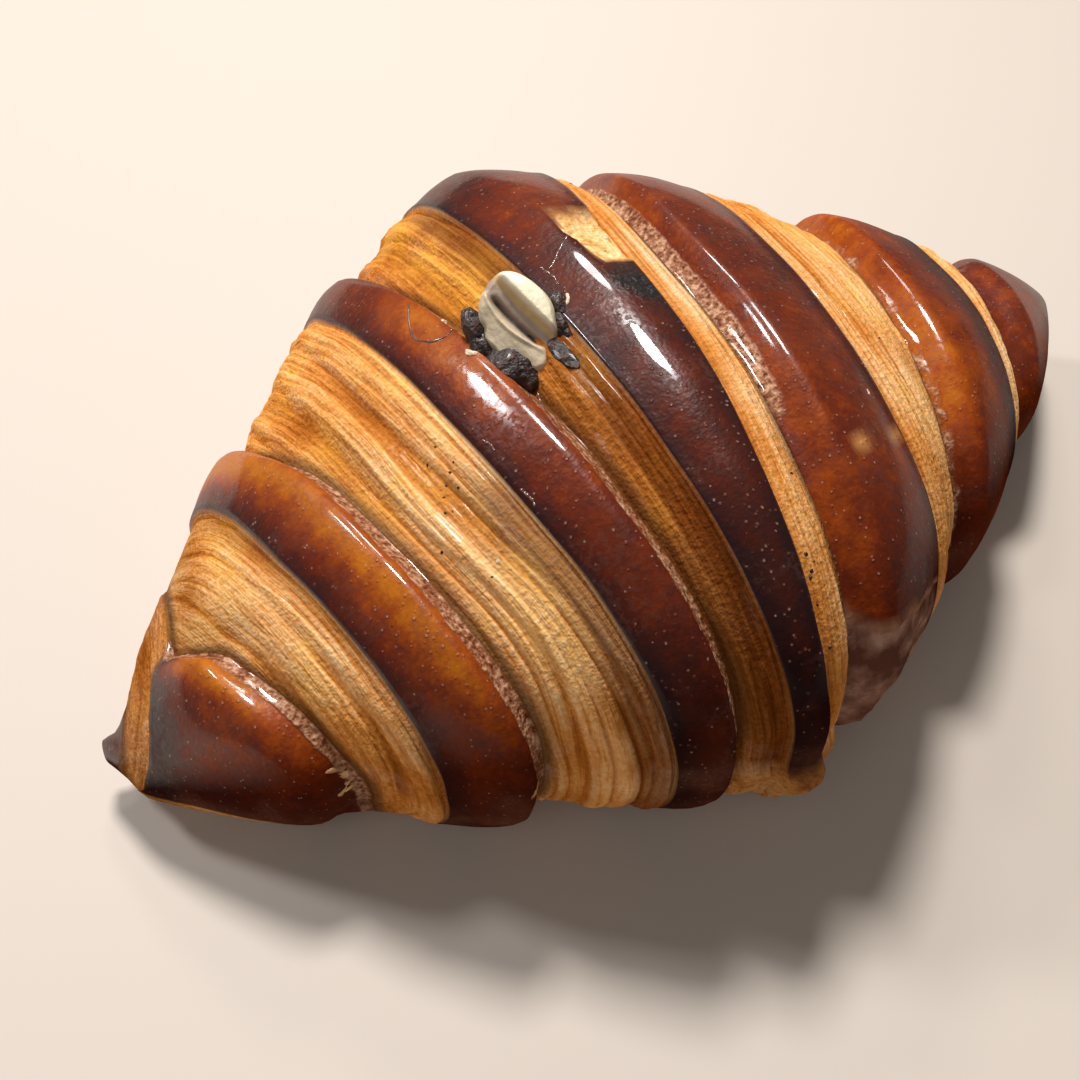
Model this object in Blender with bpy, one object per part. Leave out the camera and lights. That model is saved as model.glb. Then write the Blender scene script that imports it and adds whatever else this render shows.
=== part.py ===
"""A filled croissant with half a hazelnut set in chocolate cream on its crest.

The croissant is one rolled sheet of dough. Its turns step up from both tips to the belly. Each turn
shows a browned skin, a lip where its sheet was cut, and the layered wall of that cut, which runs down
to its foot on the skin of the turn below. The solid is a loft along X through those rings.
Frame: X along the roll, Z up, the origin at the middle of the box's underside. All sizes in metres.
"""

import math

import bmesh
import bpy
import numpy as np
from mathutils import Matrix, Vector

# Envelope of the roll.
LENGTH = 0.174
WIDTH = 0.100
HEIGHT = 0.0575
BELLY_X = -0.009  # the widest station, where the last turn lies
# Each taper, from the belly to a tip: its power, and the share of it that is a round arc.
LEFT_WIDTH_TAPER = (1.45, 0.14)
LEFT_HEIGHT_TAPER = (1.4, 0.36)
RIGHT_WIDTH_TAPER = (1.22, 0.12)
RIGHT_HEIGHT_TAPER = (1.4, 0.24)
SECTION_POWER = 2.25  # above 2 the section is squarer than an ellipse
SAG = 0.0035  # how far the section would reach below the flat base it rests on
LEFT_TIP_SHIFT = (-0.001, 0.005)  # how far the roll's axis bends towards the back and up at this tip
RIGHT_TIP_SHIFT = (0.003, 0.011)
SHIFT_POWER = 3
LEFT_POINT_LEAN = Vector((0, 0.004, 0.001))  # the small stub at the left end points to the back

# Relief of the turns on the envelope.
LIP_RISE = 0.0012
SKIN_BULGE = 0.0012
FOOT_DEPTH = 0.0024
SKIN_TUCK_START = 0.62  # share of the skin's breadth where it starts to bend down to the next foot
FULL_RELIEF_RADIUS = 0.020  # thinner stretches of the roll carry less relief
LEAST_SKIN = 0.004
LEAST_WALL = 0.0005

# Chocolate cream and hazelnut.
CREAM_CENTRE = Vector((-0.0200, 0.0021, 0.0532))
CREAM_RADII = (0.0068, 0.0066, 0.0040)
CREAM_LUMP = 0.0005
NUT_CENTRE = Vector((-0.0210, 0.0011, 0.0576))
NUT_RADII = (0.0046, 0.0063, 0.0042)
NUT_FACING = Vector((-0.30, -0.45, 0.84))  # outward normal of the nut's cut face
NUT_TURN = math.radians(9)  # the nut's long side against the croissant's Y axis
NUT_HOLLOW_RADII = (0.0009, 0.0042, 0.0012)
NUT_CUT_LEVEL = 0.15  # height of the cut face over the nut's middle, as a share of its depth
CLEARANCE = 0.0004

ROWS = 44  # points round each ring


class Ring:
    """A closed line round the roll: where it lies along X, and how far it leans forward and up."""

    def __init__(self, middle, front=0.0, top=0.0):
        self.middle = middle
        self.front = front
        self.top = top

    def at(self, angle):
        """X at this angle: 0 faces the front, a quarter turn faces up."""
        return self.middle + self.front * np.cos(angle) + self.top * np.sin(angle)


# Every ring from the left tip to the right one, with the kind of surface that runs from it to the next.
# A foot is where a wall meets the skin of the turn below, and a lip is that wall's upper edge.
RINGS = [
    (Ring(-0.0868), "left end"),
    (Ring(-0.0826, -0.0024, -0.0008), "wall rising"),
    (Ring(-0.0797, -0.0041, 0.0020), "skin sinking"),
    (Ring(-0.0657, 0.0080, -0.0017), "wall rising"),
    (Ring(-0.0575, 0.0068, 0.0011), "skin sinking"),
    (Ring(-0.0485, 0.0092, 0.0024), "wall rising"),
    (Ring(-0.0325, 0.0053, -0.0007), "skin sinking"),
    (Ring(-0.0262, 0.0066, 0.0025), "wall rising"),
    (Ring(-0.0155, 0.0007, -0.0007), "last skin"),
    (Ring(-0.0041, -0.0069, -0.0002), "wall falling"),
    (Ring(0.0011, -0.0065, 0.0012), "skin emerging"),
    (Ring(0.0186, -0.0055, -0.0007), "wall falling"),
    (Ring(0.0324, -0.0094, 0.0026), "skin emerging"),
    (Ring(0.0498, -0.0075, 0.0026), "wall falling"),
    (Ring(0.0590, -0.0090, 0.0040), "skin emerging"),
    (Ring(0.0845, -0.0006), "right end"),
    (Ring(0.0868), ""),
]
# The left turn closes up towards its back: how far its lip and its foot shift there.
CREST_PULL = {2: 0.0012, 3: -0.0042}
CREST_START = (math.radians(80), math.radians(100))
CREST_END = (math.radians(195), math.radians(155))
SHALLOW_STRETCHES = (2, 3)
SHALLOW_START = (math.radians(77), math.radians(106))
SHALLOW_SHARE = 0.8
COLUMNS = {"left end": 2, "right end": 2, "wall rising": 3, "wall falling": 3}
SKIN_COLUMNS = 4


def reach(x):
    """Distance from the belly, as a share of the distance from there to the tip on that side."""
    side = np.where(x < BELLY_X, LENGTH / 2 + BELLY_X, LENGTH / 2 - BELLY_X)
    return np.minimum(np.abs(x - BELLY_X) / side, 1.0)


def taper(x, left, right):
    """The roll's width or height at x, as a share of that at its belly."""
    u = reach(x)
    power = np.where(x < BELLY_X, left[0], right[0])
    rounding = np.where(x < BELLY_X, left[1], right[1])
    return (1 - rounding) * (1 - u**power) + rounding * np.sqrt(1 - u * u)


def axis_shift(x, direction):
    """How far the roll's axis bends at x, backwards for direction 0 and upwards for 1."""
    most = np.where(x < BELLY_X, LEFT_TIP_SHIFT[direction], RIGHT_TIP_SHIFT[direction])
    return most * reach(x) ** SHIFT_POWER


def squared(value):
    """Sine or cosine bent so that the section is a little squarer than an ellipse."""
    return np.sign(value) * np.abs(value) ** (2 / SECTION_POWER)


def point_on_roll(x, angle, relief):
    """The point at x and angle, raised by relief over the envelope. The underside is cut flat at z = 0."""
    half_width = WIDTH / 2 * taper(x, LEFT_WIDTH_TAPER, RIGHT_WIDTH_TAPER)
    height = HEIGHT * taper(x, LEFT_HEIGHT_TAPER, RIGHT_HEIGHT_TAPER)
    relief = relief * np.minimum(1.0, half_width / FULL_RELIEF_RADIUS)
    y = axis_shift(x, 0) - (half_width + relief) * squared(np.cos(angle))
    upright = squared(np.sin(angle))
    sag = np.where(upright < 0, SAG, 0.0) * height / HEIGHT
    z = height / 2 + axis_shift(x, 1) + (height / 2 + sag + relief) * upright
    return np.stack([x, y, np.maximum(z, 0.0)], axis=-1)


def skin_relief(share, tucks):
    """Relief across a skin from its lip. A skin that runs under the next turn tucks down to its foot."""
    relief = LIP_RISE + SKIN_BULGE * np.sin(math.pi * share)
    if not tucks:
        return relief
    tuck = np.clip((share - SKIN_TUCK_START) / (1 - SKIN_TUCK_START), 0, 1)
    return relief - (LIP_RISE + FOOT_DEPTH) * tuck**2 * (3 - 2 * tuck)


def wall_relief(share):
    """Relief up a wall from its foot to its lip."""
    return -FOOT_DEPTH + (LIP_RISE + FOOT_DEPTH) * np.sin(math.pi / 2 * share)


def surface_relief(kind, share):
    """Relief at a share of the way across a stretch of surface of this kind, from left to right."""
    if kind == "left end":
        return -FOOT_DEPTH * share
    if kind == "right end":
        return LIP_RISE * (1 - share)
    if kind == "wall rising":
        return wall_relief(share)
    if kind == "wall falling":
        return wall_relief(1 - share)
    if kind == "last skin":
        return skin_relief(share, tucks=False)
    return skin_relief(share if kind == "skin sinking" else 1 - share, tucks=True)


def ease(low, high, value):
    """0 at low and 1 at high, with a smooth run between them."""
    t = np.clip((value - low) / (high - low), 0, 1)
    return t * t * (3 - 2 * t)


def ring_positions(angles):
    """X of every ring at every angle, each ring kept a least distance after the one before."""
    placed = []
    for i, (ring, _) in enumerate(RINGS):
        x = ring.at(angles)
        x = x + CREST_PULL.get(i, 0.0) * ease(*CREST_START, angles) * ease(*CREST_END, angles)
        if placed:
            after_skin = "skin" in RINGS[i - 1][1]
            x = np.maximum(x, placed[-1] + (LEAST_SKIN if after_skin else LEAST_WALL))
        placed.append(x)
    return placed


def roll_sections():
    """The closed sections of the roll, from left to right, as an array of points."""
    angles = np.arange(ROWS) * 2 * math.pi / ROWS
    rings = ring_positions(angles)
    sections = []
    for i, (_, kind) in enumerate(RINGS[:-1]):
        count = COLUMNS.get(kind, SKIN_COLUMNS)
        for step in range(count):
            share = step / count
            x = rings[i] + (rings[i + 1] - rings[i]) * share
            relief = surface_relief(kind, share)
            if i in SHALLOW_STRETCHES:
                relief = relief * (1 - SHALLOW_SHARE * ease(*SHALLOW_START, angles))
            sections.append(point_on_roll(x, angles, relief))
    return sections


def material(name, colour, roughness):
    made = bpy.data.materials.new(name)
    made.use_nodes = True
    shader = made.node_tree.nodes["Principled BSDF"]
    shader.inputs["Base Color"].default_value = (*colour, 1)
    shader.inputs["Roughness"].default_value = roughness
    shader.inputs["Metallic"].default_value = 0.0
    return made


def object_from(bm, name, collection):
    bmesh.ops.recalc_face_normals(bm, faces=bm.faces)
    mesh = bpy.data.meshes.new(name)
    bm.to_mesh(mesh)
    bm.free()
    mesh.shade_smooth()
    made = bpy.data.objects.new(name, mesh)
    collection.objects.link(made)
    return made


def make_cutter(made):
    made.hide_render = True
    made.display_type = "WIRE"
    return made


def make_roll(collection):
    """The croissant's body, a loft through its sections with a point at each tip."""
    bm = bmesh.new()
    rows = [[bm.verts.new(point) for point in section] for section in roll_sections()[1:]]
    for left, right in zip(rows, rows[1:]):
        for i in range(ROWS):
            j = (i + 1) % ROWS
            bm.faces.new((left[i], left[j], right[j], right[i]))
    for row, x, lean in ((rows[0], -LENGTH / 2, LEFT_POINT_LEAN), (rows[-1], LENGTH / 2, Vector())):
        middle = sum((vertex.co for vertex in row), Vector()) / ROWS + lean
        tip = bm.verts.new((x, middle.y, middle.z))
        for i in range(ROWS):
            bm.faces.new((row[i], row[(i + 1) % ROWS], tip))
    return object_from(bm, "croissant", collection)


def make_cream(name, grow, collection):
    """The lump of chocolate cream: a flattened sphere with soft uneven lumps."""
    bm = bmesh.new()
    bmesh.ops.create_icosphere(bm, subdivisions=3, radius=1)
    for vertex in bm.verts:
        d = vertex.co.normalized()
        lump = math.sin(5 * d.x + 1) * math.sin(4 * d.y + 2) + 0.6 * math.sin(9 * d.y - 6 * d.x)
        radii = [radius + grow + CREAM_LUMP * lump for radius in CREAM_RADII]
        vertex.co = CREAM_CENTRE + Vector(d[i] * radii[i] for i in range(3))
    return object_from(bm, name, collection)


def nut_placement():
    """The nut's own frame: its cut face up along local Z, its long side along local Y."""
    up = NUT_FACING.normalized()
    along = Vector((math.sin(NUT_TURN), math.cos(NUT_TURN), 0))
    along = (along - up * along.dot(up)).normalized()
    across = along.cross(up)
    return Matrix.Translation(NUT_CENTRE) @ Matrix((across, along, up)).transposed().to_4x4()


def make_nut(name, grow, collection):
    """Half a hazelnut kernel: a sphere cut at its middle, stretched, and flat on top."""
    bm = bmesh.new()
    bmesh.ops.create_uvsphere(bm, u_segments=24, v_segments=16, radius=1)
    cut = bmesh.ops.bisect_plane(
        bm, geom=bm.verts[:] + bm.edges[:] + bm.faces[:], plane_co=(0, 0, NUT_CUT_LEVEL),
        plane_no=(0, 0, 1), clear_outer=True,
    )
    rim = [edge for edge in cut["geom_cut"] if isinstance(edge, bmesh.types.BMEdge)]
    bmesh.ops.edgeloop_fill(bm, edges=rim)
    stretch = Matrix.Diagonal([radius + grow for radius in NUT_RADII]).to_4x4()
    bmesh.ops.transform(bm, matrix=nut_placement() @ stretch, verts=bm.verts)
    return object_from(bm, name, collection)


def make_nut_hollow(collection):
    """Cutter for the slit that a hazelnut has between its two halves."""
    bm = bmesh.new()
    bmesh.ops.create_uvsphere(bm, u_segments=16, v_segments=10, radius=1)
    stretch = Matrix.Diagonal(NUT_HOLLOW_RADII).to_4x4()
    raised = Matrix.Translation((0, 0, NUT_CUT_LEVEL * NUT_RADII[2]))
    bmesh.ops.transform(bm, matrix=nut_placement() @ raised @ stretch, verts=bm.verts)
    return make_cutter(object_from(bm, "cutter_nut_hollow", collection))


def cut_away(target, cutter):
    cut = target.modifiers.new("cut by " + cutter.name, "BOOLEAN")
    cut.operation = "DIFFERENCE"
    cut.solver = "EXACT"
    cut.object = cutter


def main():
    for old in list(bpy.data.objects):
        bpy.data.objects.remove(old)
    parts = bpy.data.collections.new("croissant")
    cutters = bpy.data.collections.new("cutters")
    for collection in (parts, cutters):
        bpy.context.scene.collection.children.link(collection)

    roll = make_roll(parts)
    cream = make_cream("chocolate_cream", 0.0, parts)
    nut = make_nut("hazelnut_half", 0.0, parts)
    cut_away(roll, make_cutter(make_cream("cutter_cream_seat", CLEARANCE, cutters)))
    nut_seat = make_cutter(make_nut("cutter_nut_seat", CLEARANCE, cutters))
    cut_away(roll, nut_seat)
    cut_away(cream, nut_seat)
    cut_away(nut, make_nut_hollow(cutters))

    roll.data.materials.append(material("browned crust", (0.30, 0.09, 0.02), 0.30))
    cream.data.materials.append(material("chocolate cream", (0.025, 0.012, 0.008), 0.40))
    nut.data.materials.append(material("hazelnut", (0.80, 0.68, 0.46), 0.50))


main()
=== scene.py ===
import math

import bmesh
import bpy
import numpy as np
from mathutils import Matrix, Vector


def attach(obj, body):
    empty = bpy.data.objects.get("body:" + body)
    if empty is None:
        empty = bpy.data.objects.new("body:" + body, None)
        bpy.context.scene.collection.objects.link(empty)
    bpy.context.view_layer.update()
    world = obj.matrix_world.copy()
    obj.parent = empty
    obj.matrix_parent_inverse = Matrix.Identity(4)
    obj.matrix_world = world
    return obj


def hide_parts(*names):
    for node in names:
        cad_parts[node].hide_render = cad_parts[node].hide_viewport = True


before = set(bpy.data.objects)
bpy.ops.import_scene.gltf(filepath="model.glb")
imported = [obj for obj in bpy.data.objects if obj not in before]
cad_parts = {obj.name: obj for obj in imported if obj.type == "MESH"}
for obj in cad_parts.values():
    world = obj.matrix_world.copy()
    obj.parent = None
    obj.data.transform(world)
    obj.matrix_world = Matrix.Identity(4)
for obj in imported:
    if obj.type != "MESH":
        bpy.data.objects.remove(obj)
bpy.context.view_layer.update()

MM = 0.001

# ---- The roll's envelope and rings, the same as the CAD's, in millimetres. ----
LENGTH = 174.0
WIDTH = 100.0
HEIGHT = 57.5
BELLY_X = -9.0
LEFT_WIDTH_TAPER = (1.45, 0.14)
LEFT_HEIGHT_TAPER = (1.4, 0.36)
RIGHT_WIDTH_TAPER = (1.22, 0.12)
RIGHT_HEIGHT_TAPER = (1.4, 0.24)
SECTION_POWER = 2.25
SAG = 3.5
LEFT_TIP_SHIFT = (-1.0, 5.0)
RIGHT_TIP_SHIFT = (3.0, 11.0)
SHIFT_POWER = 3
LEFT_POINT_LEAN = (4.0, 1.0)
LIP_RISE = 1.3
SKIN_BULGE = 0.9
FOOT_DEPTH = 2.2
LIP_STEP = 0.75
SKIN_TUCK_START = 0.70
FULL_RELIEF_RADIUS = 20.0
LEAST_SKIN = 4.0
LEAST_WALL = 0.5
LIP_SHARE = 0.985  # share of a wall's width at which its step under the lip begins

# Middle, lean to the front, lean to the top, and the kind of surface from this ring to the next.
RINGS = [
    (-86.8, 0.0, 0.0, "left end"),
    (-82.6, -2.4, -0.8, "wall rising"),
    (-79.7, -4.1, 2.0, "skin sinking"),
    (-65.7, 8.0, -1.7, "wall rising"),
    (-57.5, 6.8, 1.1, "skin sinking"),
    (-48.5, 9.2, 2.4, "wall rising"),
    (-32.5, 5.3, -0.7, "skin sinking"),
    (-26.2, 6.6, 2.5, "wall rising"),
    (-15.5, 0.7, -0.7, "last skin"),
    (-4.1, -6.9, -0.2, "wall falling"),
    (1.1, -6.5, 1.2, "skin emerging"),
    (18.6, -5.5, -0.7, "wall falling"),
    (32.4, -9.4, 2.6, "skin emerging"),
    (49.8, -7.5, 2.6, "wall falling"),
    (59.0, -9.0, 4.0, "skin emerging"),
    (84.5, -0.6, 0.0, "right end"),
    (86.8, 0.0, 0.0, ""),
]
KINDS = [r[3] for r in RINGS[:-1]]
# Stretches by name, from left to right: the turns' skins, and the walls between them.
LEFT_TIP, RIGHT_TIP = 0, 15
LEFT_TURN, SECOND_TURN, THIRD_TURN, LAST_TURN, RIGHT_TURN, ORANGE_TURN, END_TURN = 2, 4, 6, 8, 10, 12, 14
LEFT_WALL, SECOND_WALL, LONG_WALL, NUT_WALL, LAST_WALL, RIGHT_WALL, END_WALL = 1, 3, 5, 7, 9, 11, 13
# The left turn closes up towards its back: how far its rings move there, and between which angles.
CREST_PULL = {LEFT_TURN: 1.2, SECOND_WALL: -4.2}
CREST_START, CREST_END = 80, 100
CREST_FADE = (3.4, 2.7)  # radians over which the pull dies away behind
RING_WAVER, RING_WAVES = 0.75, 9  # mm that a ring wanders, and how often in a turn
RAGGED_WAVER, RAGGED_WAVES = 0.55, 46
TIP_WAVER_SHARE = 0.25
COLUMN_PITCH = {"wall": 0.22, "skin": 0.50, "end": 0.8}  # mm along the profile
LIP_CROWDING = 0.055  # how much closer a skin's columns stand at its edges
ROWS = 196
ROW_CROWDING = 0.42
ROW_CROWD_AT = math.radians(60)

# Layers in the walls, in millimetres from one to the next, and how high each kind stands.
FOLD_PITCH, FOLD_HEIGHT = 2.6, 0.62
SHEET_PITCH, SHEET_HEIGHT = 5.2, 0.85
BROAD_PITCH, BROAD_HEIGHT = 1.9, 0.52
SLIM_PITCH, SLIM_LOSS = 1.05, 0.22
LAYER_SINK = 0.45

# How much paler or browner each wall is, and how yellow; the wall by the nut is darker with painted shade.
WALL_TONES = {LEFT_WALL: -0.30, LEFT_TURN: -0.2, LONG_WALL: 0.04, NUT_WALL: -0.32, LAST_WALL: 0.12,
              RIGHT_WALL: 0.06, END_WALL: 0.10}
YELLOW_WALLS = {LONG_WALL: 1.0, SECOND_WALL: 0.7, NUT_WALL: 1.0, RIGHT_WALL: 0.7}

# Marks on the crust: places in mm, and angles round the roll with 0 at the front and 90 at the top.
TEAR_RIGHT_X, TEAR_REACH = -2.0, 6.9
TEAR_FRONT_Y, TEAR_BACK_Y = 2.7, 14.9
TEAR_DEPTH = 1.15
BURN_X, BURN_Y, BURN_HALF_X, BURN_HALF_Y = -6.6, -1.6, 2.9, 4.0
FLAP_TOP, FLAP_SLANT = 21.0, 0.5  # the angle at x = 0, and degrees lost for each mm
FLAP_DEPTH = 0.55
FOOT_TOP, FOOT_SWELL = -7.0, 1.3
CRACK_AT, CRACK_DEPTH = 52.0, 0.35
CLOSED_UP_FROM, CLOSED_UP_TO = 97, 104


# ---- Noise on a lattice, for shapes ----
def hash_unit(i, j, k, seed):
    """A steady pseudo-random number in 0..1 for each lattice point."""
    h = (i * 374761393 + j * 668265263 + k * 2147483647 + seed * 1274126177) & 0xFFFFFFFF
    h = ((h ^ (h >> 13)) * 1274126177) & 0xFFFFFFFF
    h = ((h ^ (h >> 16)) * 2246822519) & 0xFFFFFFFF
    return ((h ^ (h >> 15)) & 0xFFFFFF) / float(0xFFFFFF)


def noise(p, seed=0):
    """Smooth value noise in -1..1 at points p, an array of shape (..., 3)."""
    base = np.floor(p).astype(np.int64)
    f = p - base
    f = f * f * f * (f * (f * 6 - 15) + 10)
    total = 0.0
    for dx in (0, 1):
        wx = f[..., 0] if dx else 1 - f[..., 0]
        for dy in (0, 1):
            wy = f[..., 1] if dy else 1 - f[..., 1]
            for dz in (0, 1):
                wz = f[..., 2] if dz else 1 - f[..., 2]
                total = total + wx * wy * wz * hash_unit(
                    base[..., 0] + dx, base[..., 1] + dy, base[..., 2] + dz, seed
                )
    return 2 * total - 1


def fractal(p, octaves=3, seed=0, gain=0.5):
    total, weight, norm = 0.0, 1.0, 0.0
    for o in range(octaves):
        total = total + weight * noise(p * 2.0**o + 11.3 * o, seed + o)
        norm += weight
        weight *= gain
    return total / norm


def round_noise(angle, cycles, second, seed, octaves=2, gain=0.5):
    """Noise that runs round the roll with about this many features in a turn, and closes on itself."""
    radius = cycles / (2 * math.pi)
    second = np.broadcast_to(second, np.shape(angle))
    p = np.stack([radius * np.cos(angle) + 40, radius * np.sin(angle) + 40, second], -1)
    return fractal(p, octaves, seed, gain)


def sheet_steps(phase):
    """Overlapping sheets: each rises slowly and ends in a sharp edge."""
    t = phase - np.floor(phase)
    return t**0.6 * smooth(1.0, 0.86, t)


def strands(phase):
    """Broad rounded strands with thin grooves between them, 1 on a strand's back and 0 in a groove."""
    t = phase - np.floor(phase)
    return 1 - np.abs(2 * t - 1) ** 3.5


def smooth(low, high, value):
    t = np.clip((value - low) / (high - low), 0, 1)
    return t * t * (3 - 2 * t)


def bump_at(value, centre, width):
    return np.exp(-(((value - centre) / width) ** 2))


# ---- Envelope ----
def reach(x):
    side = np.where(x < BELLY_X, LENGTH / 2 + BELLY_X, LENGTH / 2 - BELLY_X)
    return np.minimum(np.abs(x - BELLY_X) / side, 1.0)


def taper(x, left, right):
    u = reach(x)
    power = np.where(x < BELLY_X, left[0], right[0])
    rounding = np.where(x < BELLY_X, left[1], right[1])
    return (1 - rounding) * (1 - u**power) + rounding * np.sqrt(1 - u * u)


def axis_shift(x, direction):
    most = np.where(x < BELLY_X, LEFT_TIP_SHIFT[direction], RIGHT_TIP_SHIFT[direction])
    return most * reach(x) ** SHIFT_POWER


def squared(value):
    return np.sign(value) * np.abs(value) ** (2 / SECTION_POWER)


def point_on_roll(x, angle, relief):
    """The point at x and angle, raised over the envelope, whose underside sags a little below z = 0."""
    half_width = WIDTH / 2 * taper(x, LEFT_WIDTH_TAPER, RIGHT_WIDTH_TAPER)
    height = HEIGHT * taper(x, LEFT_HEIGHT_TAPER, RIGHT_HEIGHT_TAPER)
    relief = relief * np.minimum(1.0, half_width / FULL_RELIEF_RADIUS)
    y = axis_shift(x, 0) - (half_width + relief) * squared(np.cos(angle))
    upright = squared(np.sin(angle))
    sag = np.where(upright < 0, SAG, 0.0) * height / HEIGHT
    z = height / 2 + axis_shift(x, 1) + (height / 2 + sag + relief) * upright
    return np.stack([x, y, z], axis=-1)


def skin_relief(share, tucks):
    relief = LIP_RISE + SKIN_BULGE * np.sin(math.pi * share)
    if not tucks:
        return relief
    tuck = np.clip((share - SKIN_TUCK_START) / (1 - SKIN_TUCK_START), 0, 1)
    return relief - (LIP_RISE + FOOT_DEPTH) * tuck**2 * (3 - 2 * tuck)


def wall_relief(share):
    """Up a wall from its foot to the underside of its lip."""
    top = LIP_RISE - LIP_STEP
    return -FOOT_DEPTH + (top + FOOT_DEPTH) * np.sin(math.pi / 2 * share)


def ring_positions(angles):
    placed = []
    for i, (middle, front, top, _) in enumerate(RINGS):
        x = middle + front * np.cos(angles) + top * np.sin(angles)
        if 0 < i < len(RINGS) - 1:
            share = TIP_WAVER_SHARE if i in (LEFT_WALL, RIGHT_TIP) else 1.0
            x = x + share * RING_WAVER * round_noise(angles, RING_WAVES, 3.1 * i, 50 + i, 3)
            if i % 2 == 0 or i in (LAST_WALL, RIGHT_WALL, END_WALL):
                ragged = smooth(0.35, -0.75, np.sin(angles))
                x = x + ragged * RAGGED_WAVER * round_noise(angles, RAGGED_WAVES, 7.7 * i, 80 + i, 2)
        if i in CREST_PULL:
            crest = smooth(math.radians(CREST_START), math.radians(CREST_END), angles)
            crest = crest * smooth(*CREST_FADE, angles)
            x = x + CREST_PULL[i] * crest
        if placed:
            after_skin = "skin" in RINGS[i - 1][3]
            x = np.maximum(x, placed[-1] + (LEAST_SKIN if after_skin else LEAST_WALL))
        placed.append(x)
    return placed


def column_shares(kind, width):
    """Shares across a stretch. A wall has a step just under its lip; a skin's are closer at its edges."""
    if "end" in kind:
        n = max(4, int(width / COLUMN_PITCH["end"]))
        return np.arange(n) / n
    if "wall" in kind:
        n = max(8, int(width / COLUMN_PITCH["wall"]))
        s = np.arange(n) / n
        s = s * LIP_SHARE / (1 - 1 / n)
        if kind == "wall falling":
            s = np.concatenate([[0.0], 1 - s[::-1]])
            s[1] = max(s[1], 0.015)
        return s
    n = max(8, int(width / COLUMN_PITCH["skin"]))
    s = np.arange(n) / n
    return s + LIP_CROWDING * np.sin(2 * math.pi * (s - 0.5)) * (s > 0)


# ---- The croissant: one closed surface with its colour masks ----
def row_angles():
    """Angles round the roll, closest where the upper front faces and wide apart on the flat underside."""
    u = np.arange(ROWS) / ROWS * 2 * math.pi
    return u + ROW_CROWDING * np.sin(u - ROW_CROWD_AT)


def lay_columns(rings):
    """x at every column and row, the stretch it lies in, its share across it and the stretch's width."""
    xs, stretches, shares, widths = [], [], [], []
    for i, kind in enumerate(KINDS):
        width = rings[i + 1] - rings[i]
        for s in column_shares(kind, float(np.median(width))):
            xs.append(rings[i] + width * s)
            stretches.append(i)
            shares.append(s)
            widths.append(width)
    xs.append(rings[-1])
    stretches.append(len(KINDS) - 1)
    shares.append(1.0)
    widths.append(rings[-1] - rings[-2])
    x = np.array(xs)[1:]
    stretch = np.array(stretches)[1:, None] + np.zeros_like(x, int)
    share = np.array(shares)[1:, None] + np.zeros_like(x)
    return x, stretch, share, np.array(widths)[1:]


def across_stretches(stretch, share, width):
    """The plain relief, which points are skin, and the distances in mm from the lip and the crevice."""
    relief = np.zeros_like(share)
    is_skin = np.zeros_like(share)
    from_lip = np.full_like(share, 9.0)
    from_foot = np.full_like(share, 9.0)
    for i, kind in enumerate(KINDS):
        m = stretch == i
        s, w = share[m], width[m]
        if kind == "left end":
            relief[m] = -FOOT_DEPTH * s
            from_foot[m] = (1 - s) * w
            is_skin[m] = 1
        elif kind == "right end":
            relief[m] = LIP_RISE * (1 - s)
            from_lip[m] = 3
            is_skin[m] = 1
        elif "wall" in kind:
            up = s if kind == "wall rising" else 1 - s
            lip = up > 0.999
            relief[m] = np.where(lip, LIP_RISE, wall_relief(np.minimum(up / LIP_SHARE, 1)))
            from_lip[m] = (1 - up) * w
            from_foot[m] = up * w
            is_skin[m] = lip
        elif kind == "last skin":
            relief[m] = skin_relief(s, False)
            from_lip[m] = np.minimum(s, 1 - s) * w
            is_skin[m] = 1
        else:
            t = s if kind == "skin sinking" else 1 - s
            relief[m] = skin_relief(t, True)
            from_lip[m] = t * w
            from_foot[m] = (1 - t) * w
            is_skin[m] = 1
    return relief, is_skin, from_lip, from_foot


def wall_layers(angle, stretch, from_lip, from_foot):
    """Layers of dough in the walls: thin sheets that run with the lip, overlap, part and join."""
    q = stretch * 5.17
    layer_at = from_lip + 0.9 * round_noise(angle, 7, from_lip / 7.0 + q, 5, 2)
    fade = smooth(0.0, 0.8, from_lip) * (0.4 + 0.6 * smooth(0.0, 1.2, from_foot))
    folds = round_noise(angle, 5, layer_at / FOLD_PITCH + q, 11, 1)
    sheets = sheet_steps(layer_at / SHEET_PITCH + 0.8 * round_noise(angle, 4, q, 17, 2))
    broad = strands(layer_at / BROAD_PITCH + 0.9 * round_noise(angle, 6, q + 2, 23, 2))
    slim = strands(layer_at / SLIM_PITCH + 1.1 * round_noise(angle, 8, q + 5, 29, 2))
    choose = smooth(-0.22, 0.22, round_noise(angle, 7, layer_at / 3.2 + q, 31, 2))
    ridge = broad + (slim - broad) * choose
    layers = FOLD_HEIGHT * folds + SHEET_HEIGHT * sheets + (BROAD_HEIGHT - SLIM_LOSS * choose) * ridge
    return layers, folds, ridge, fade, layer_at


def torn_bay(x, pos, stretch, is_skin, jag):
    """The last turn is torn open near the crest: a bay of pale dough runs into its skin from the right."""
    inward = TEAR_RIGHT_X - x
    y = pos[..., 1]
    tear = smooth(TEAR_REACH, TEAR_REACH - 0.6, inward + jag)
    tear = tear * smooth(TEAR_FRONT_Y, TEAR_FRONT_Y + 0.5, y - 0.30 * inward + 0.5 * jag)
    tear = tear * smooth(TEAR_BACK_Y, TEAR_BACK_Y - 0.8, y - 0.10 * inward + 0.5 * jag)
    return tear * ((stretch == LAST_TURN) | ((stretch == LAST_WALL) & (is_skin > 0)))


def burnt_spot(x, pos, stretch):
    burn = bump_at(x, BURN_X, BURN_HALF_X) * bump_at(pos[..., 1], BURN_Y, BURN_HALF_Y)
    burn = burn * (stretch == LAST_TURN)
    return smooth(0.30, 0.62, burn + 0.22 * fractal(pos / 1.5, 2, 221))


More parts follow.
